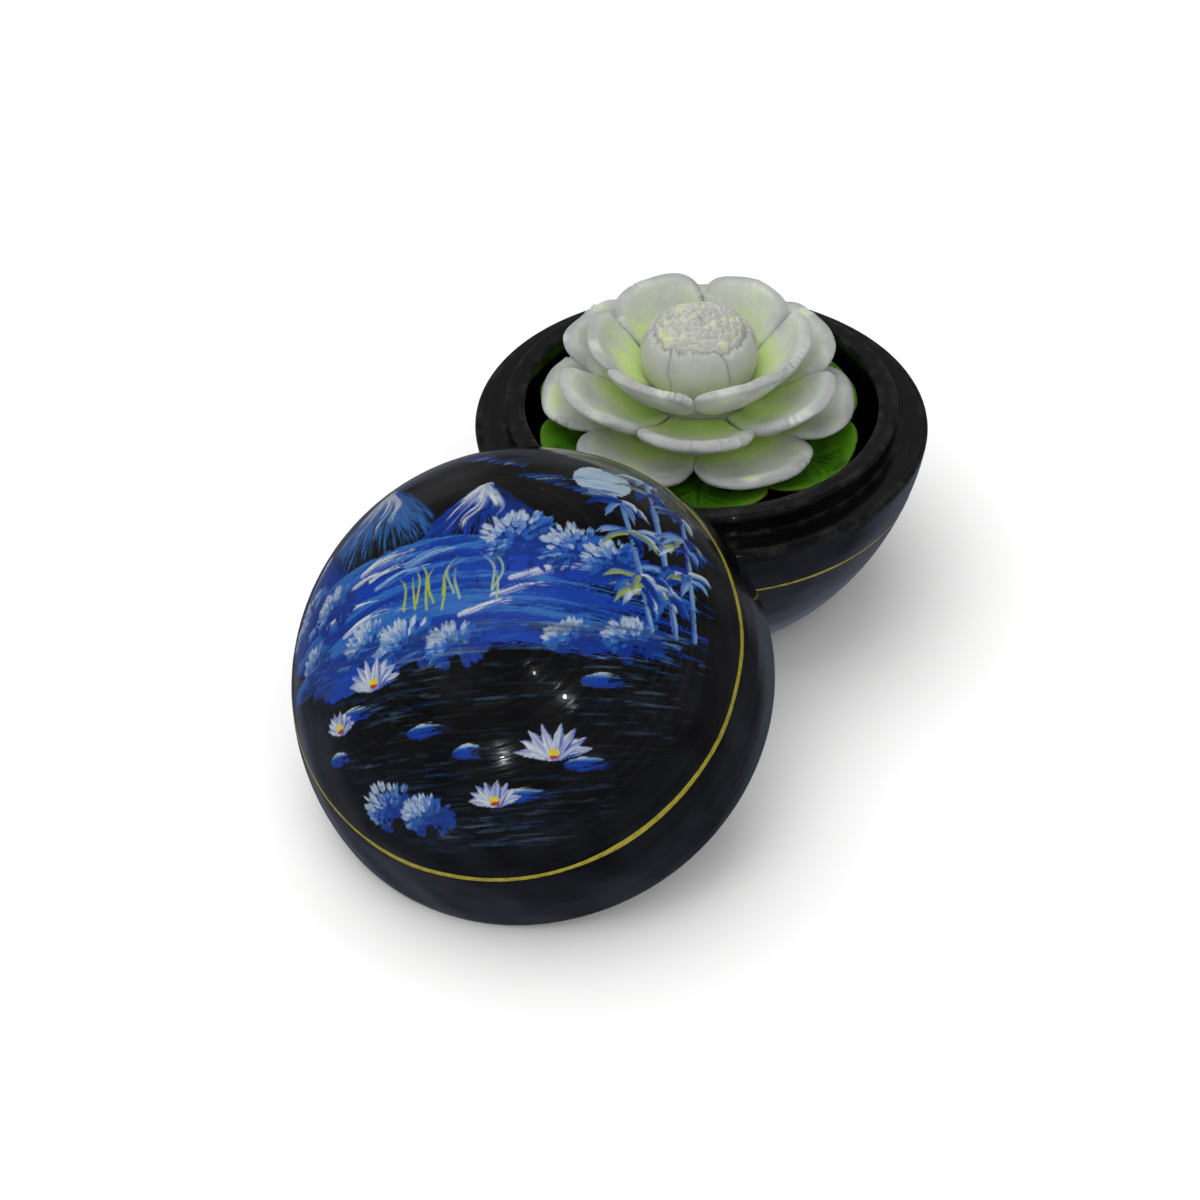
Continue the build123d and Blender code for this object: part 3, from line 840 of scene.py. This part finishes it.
def flake(turn, span, low, high, stand, thick, tip, rough, seed, dye_and_shade, rows, cols):
    """A small petal laid on the bud from one slope to another, its ragged top standing off a little."""
    shift = 13.7 * (seed % 97)
    u, v = np.meshgrid(np.linspace(-1, 1, cols), np.linspace(0, 1, rows))
    torn = rough * (noise(u * 6 + 9, shift, seed) - 0.5 + 0.6 * (noise(u * 15, shift, seed + 1) - 0.5))
    crest = high + tip * (1 - np.abs(u) ** 2.4) + torn
    slope = np.radians(low + (crest - low) * v)
    angle = np.radians(turn + u * span * (0.92 + 0.08 * np.sin(math.pi * np.minimum(v * 1.15, 1))))
    sides = np.sqrt(np.clip(1 - np.clip((np.abs(u) - 0.84) / 0.16, 0, 1) ** 2, 0, 1))
    soft = sides * np.sqrt(1 - np.clip((v - 0.88) / 0.12, 0, 1) ** 2)
    uneven = 0.30 * (noise(u * 2.2 + 5, v * 2.5 + shift, seed + 2) - 0.5)
    sheets = []
    for side in (0.5, -0.5):
        out = stand * v**2 + side * thick * soft + uneven
        r = (BUD_R + out) * np.cos(slope)
        up = BUD_UP + np.where(slope > 0, BUD_R - BUD_FLAT + out, BUD_R + out) * np.sin(slope)
        sheets.append(np.stack([r * np.cos(angle), r * np.sin(angle), up], -1).reshape(-1, 3))
    faces = []
    for side, base in ((0, 0), (1, rows * cols)):
        for k in range(rows - 1):
            for i in range(cols - 1):
                a = base + k * cols + i
                quad = (a, a + 1, a + cols + 1, a + cols)
                faces.append(quad if side == 0 else quad[::-1])
    rim = [k * cols for k in range(rows)] + [(rows - 1) * cols + i for i in range(1, cols)]
    rim += [k * cols + cols - 1 for k in range(rows - 2, -1, -1)] + list(range(cols - 2, 0, -1))
    for a, b in zip(rim, rim[1:] + rim[:1]):
        faces.append((a, b, b + rows * cols, a + rows * cols))
    dyed_and_shaded = (dye_and_shade * (1.3 - v)).reshape(-1)
    return np.vstack(sheets), faces, np.clip(np.r_[dyed_and_shaded, dyed_and_shaded], 0, 1)


for number in range(1, 7):
    outer = number % 2
    verts, faces, dyed_and_shaded = flake(
        turn=60 * number - 30, span=36, low=-34, high=31 + 3 * outer, stand=0.15 * outer, thick=1.5,
        tip=4, rough=9, seed=300 + number, dye_and_shade=0.3, rows=30, cols=44,
    )
    name, node = f"bud_petal_carved_{number}", f"bud_petal_{number}"
    piece(name, verts, faces, "flower", [node], {"dye_and_shade": dyed_and_shaded}, flower, ivory_soap)

# the heart is one lump, nicked into layers of ragged flakes that close over its top:
# each layer's number of flakes, the slope that its crests reach and how deep it lies
FLAKES = ((8, 87, 0.95), (8, 80, 0.80), (9, 71, 0.60), (9, 62, 0.40), (10, 53, 0.20), (10, 44, 0.0))
around, rows = 260, 130
slopes, turns = np.linspace(-24, 89.5, rows), np.linspace(0, 360, around, endpoint=False)
slope, turn = np.meshgrid(slopes, turns, indexing="ij")
depth = np.full(slope.shape, -1.3)
for k, (count, crest, low) in enumerate(FLAKES):
    place = ((turn + 23 * k) * count / 360) % 1 * 2 - 1
    each = np.floor((turn + 23 * k) * count / 360) % count
    top = crest + 5 * (noise(each * 3.1, 0.5 + 7 * k, 61) - 0.5) + 5 * (0.6 - np.abs(place) ** 2.2)
    top = top + 8 * (noise(turn / 7, 0.5 + k, 62) - 0.5) + 3 * (noise(turn / 2.5, 0.5 + k, 63) - 0.5)
    under = top - slope
    here = step(-1.2, 1.2, under)
    lip = 0.55 * np.exp(-np.maximum(under, 0) / 3.5)
    depth = depth * (1 - here) + here * (-low + lip - 0.4 * np.abs(place) ** 4)
depth = depth + 0.35 * (noise(turn / 9, slope / 7, 64) - 0.5) + 0.10 * (noise(turn / 3, slope / 3, 65) - 0.5)
radius = BUD_R + depth
s_up, s_turn = np.radians(slope), np.radians(turn)
across = radius * np.cos(s_up)
up = BUD_UP + np.where(s_up > 0, radius - BUD_FLAT, radius) * np.sin(s_up)
heart = np.stack([across * np.cos(s_turn), across * np.sin(s_turn), up], -1).reshape(-1, 3)
heart = np.vstack([heart, [(0, 0, up[0, 0])], [(0, 0, up[-1].mean())]])
faces = []
for k in range(rows - 1):
    for i in range(around):
        j = (i + 1) % around
        faces.append((k * around + i, k * around + j, (k + 1) * around + j, (k + 1) * around + i))
for i in range(around):
    j = (i + 1) % around
    faces.append((rows * around, j, i))
    faces.append((rows * around + 1, (rows - 1) * around + i, (rows - 1) * around + j))
dyed_and_shaded = 0.12 + 0.45 * step(0.6, 0.9, noise(turn / 14, slope / 9, 66))
values = {"dye_and_shade": np.r_[dyed_and_shaded.ravel(), 0.2, 0.2]}
piece("bud_heart", heart, faces, "flower", ["flower_heart"], values, flower, ivory_soap)

# The petals: three rings of six, carved thin and cupped from white soap, with
# soft thick rims and crumbs where the blade tore. The lime tint pools at the roots.

# rise is the tilt at the root in degrees and cup the radius of the ball that a blade
# lies on; widest, cup_at and rim are shares of its length or breadth.
CARVED = dict(point=0, ragged=0.55, waver=0.05, rim=0.24, waves=0.8, flare=0.9)
PETAL_RINGS = {
    "inner_petal": dict(
        turn=0, root_r=11.0, root_up=11.6, rise=46, length=16.6, width=21.0, widest=0.66,
        cup=21, cup_at=0.50, thick=2.6, dye_and_shade=0.38, **CARVED,
    ),
    "middle_petal": dict(
        turn=30, root_r=11.6, root_up=7.4, rise=27, length=21.0, width=24.5, widest=0.64,
        cup=24, cup_at=0.52, thick=3.0, dye_and_shade=0.50, **CARVED,
    ),
    "outer_petal": dict(
        turn=0, root_r=11.4, root_up=3.4, rise=11, length=22.8, width=26.5, widest=0.62,
        cup=27, cup_at=0.55, thick=2.8, dye_and_shade=0.62, **CARVED,
    ),
}
for k, (kind, ring) in enumerate(PETAL_RINGS.items()):
    for number in range(1, 7):
        name, node, turn = f"{kind}_carved_{number}", f"{kind}_{number}", ring["turn"] + 60 * (number - 1)
        petal(name, ring, turn, node, white_soap, 40 * k + number, ring["dye_and_shade"])

# The leaves: six broad blades of green soap under the petals, thin and glossy,
# with knife-cut veins that run together at a small point.
green_soap, tree, shader = material(
    "green_soap",
    subsurface_weight=0.35,
    subsurface_scale=0.002,
    subsurface_radius=(0.5, 1.0, 0.2),
    specular_ior_level=0.5,
    coat_weight=0.4,
    coat_roughness=0.12,
)
place = put(tree, "TexCoord").outputs["Object"]
dye_and_shade = put(tree, "Attribute", attribute_name="dye_and_shade").outputs["Fac"]
vein = put(tree, "Attribute", attribute_name="vein").outputs["Fac"]
rim = put(tree, "Attribute", attribute_name="rim").outputs["Fac"]
cloud = spots(tree, place, 140.0, 3.0, 0.55)
dyed_and_shaded = sums(tree, "ADD", dye_and_shade, level(tree, cloud, 0.3, 0.7, -0.2, 0.2))
# a leaf runs from fresh green at its far end to dark green at its root, the dark end painted shade under the
# petals
fresh, green, dark = (0.060, 0.19, 0.004), (0.020, 0.10, 0.002), (0.005, 0.032, 0.001)
leaf_green = ramp(tree, dyed_and_shaded, (0.05, fresh), (0.45, green), (0.9, dark))
# the cut veins are painted darker: painted shade in their grooves
leaf_green = mixed(tree, sums(tree, "MULTIPLY", vein, 0.7), leaf_green, (0.012, 0.035, 0.003))
leaf_green = mixed(tree, level(tree, rim, 0.955, 1.0, 0.0, 0.75), leaf_green, (0.10, 0.12, 0.006))
lay(tree, leaf_green, shader, "Base Color")
lay(tree, level(tree, cloud, 0.3, 0.7, 0.26, 0.42), shader, "Roughness")
lay(tree, bump(tree, cloud, 0.0006, 0.3), shader, "Normal")

LEAF = dict(
    turn=30, root_r=11.2, root_up=-0.8, rise=2, length=25.6, width=30.0, widest=0.68, point=0.5,
    cup=62, cup_at=0.45, thick=1.1, dye_and_shade=0.9, ragged=0.12, waver=0.03, rim=0.06, waves=0.6, flare=0.0,
    veins=True,
)
for number in range(1, 7):
    name, node, turn = f"leaf_carved_{number}", f"leaf_{number}", LEAF["turn"] + 60 * (number - 1)
    petal(name, LEAF, turn, node, green_soap, 200 + number, LEAF["dye_and_shade"])

# The studio: a white table under wide soft light from above and from the front,
# a hazy room for the lacquer to mirror, and the camera where the photograph was
# taken. Only the room and three tiny lamps show in the gloss.
FLOOR_HALF = 4  # metres
floor_mesh = bpy.data.meshes.new("floor")
bm = bmesh.new()
bmesh.ops.create_grid(bm, x_segments=8, y_segments=8, size=FLOOR_HALF)
bm.to_mesh(floor_mesh)
bm.free()
floor = bpy.data.objects.new("floor", floor_mesh)
bpy.context.scene.collection.objects.link(floor)
paper, tree, shader = material(
    "paper", base_color=(0.93, 0.93, 0.925, 1), roughness=0.9, specular_ior_level=0.1
)
floor_mesh.materials.append(paper)
floor.visible_glossy = False

world = bpy.data.worlds.new("studio")
bpy.context.scene.world = world
world.use_nodes = True
tree = world.node_tree
way = put(tree, "TexCoord").outputs["Generated"]
height = level(tree, put(tree, "SeparateXYZ", {0: way}).outputs["Z"], -1.0, 1.0)
below, horizon, wall_grey, above = (0.13, 0.145, 0.19), (0.11, 0.115, 0.14), (0.14,) * 3, (0.12,) * 3
room = ramp(tree, height, (0.10, below), (0.36, horizon), (0.55, wall_grey), (0.90, above))
haze = ramp(tree, spots(tree, way, 3.0, 3.0, 0.5), (0.35, (0.45,) * 3), (0.65, (1.45,) * 3))
tree.links.new(mixed(tree, 1.0, room, haze, "MULTIPLY"), tree.nodes["Background"].inputs["Color"])


def lamp(name, way, angle, power):
    """Soft light from one side of the room, as wide as its angle."""
    light = bpy.data.lights.new(name, "SUN")
    light.angle = math.radians(angle)
    light.energy = power
    made = bpy.data.objects.new(name, light)
    made.rotation_euler = (-Vector(way)).to_track_quat("-Z", "Y").to_euler()
    made.visible_glossy = False
    bpy.context.scene.collection.objects.link(made)


lamp("key", (-0.25, 0.20, 1.15), 60, 1.5)
lamp("fill", (-0.15, -0.90, 0.75), 80, 1.6)
lamp("ceiling", (0.0, 0.0, 1.0), 140, 1.0)
GLINTS = (((-0.20, -0.88, 0.10), 0.30), ((0.25, -0.85, 0.55), 0.20), ((0.02, -0.80, 0.75), 0.08))
BOX_MIDDLE = Vector((0, -0.04, 0.04))
for place, power in GLINTS:
    glint = bpy.data.lights.new("glint", "AREA")
    glint.size = 0.02
    glint.energy = power
    made = bpy.data.objects.new("glint", glint)
    made.location = place
    made.rotation_euler = (BOX_MIDDLE - Vector(place)).to_track_quat("-Z", "Y").to_euler()
    made.visible_camera = False
    bpy.context.scene.collection.objects.link(made)

LENS, LOOK_DOWN, ROLL, BACK = 102.9, math.radians(38.85), math.radians(-0.55), 0.705
AIM = Vector((-22.65, -63.8, 42.5)) * MM
across = Vector((1, 0, 0))
view = Vector((0, math.cos(LOOK_DOWN), -math.sin(LOOK_DOWN)))
view_up = Vector((0, math.sin(LOOK_DOWN), math.cos(LOOK_DOWN)))
side_way = across * math.cos(ROLL) + view_up * math.sin(ROLL)
top_way = view_up * math.cos(ROLL) - across * math.sin(ROLL)
camera = bpy.data.objects.new("camera", bpy.data.cameras.new("camera"))
bpy.context.scene.collection.objects.link(camera)
camera.data.lens = LENS
camera.data.sensor_width = 36
camera.data.clip_start = 0.01
turn = Matrix((side_way, top_way, -view)).transposed()
camera.matrix_world = Matrix.Translation(AIM - view * BACK) @ turn.to_4x4()
bpy.context.scene.camera = camera
bpy.context.scene.view_settings.view_transform = "Standard"
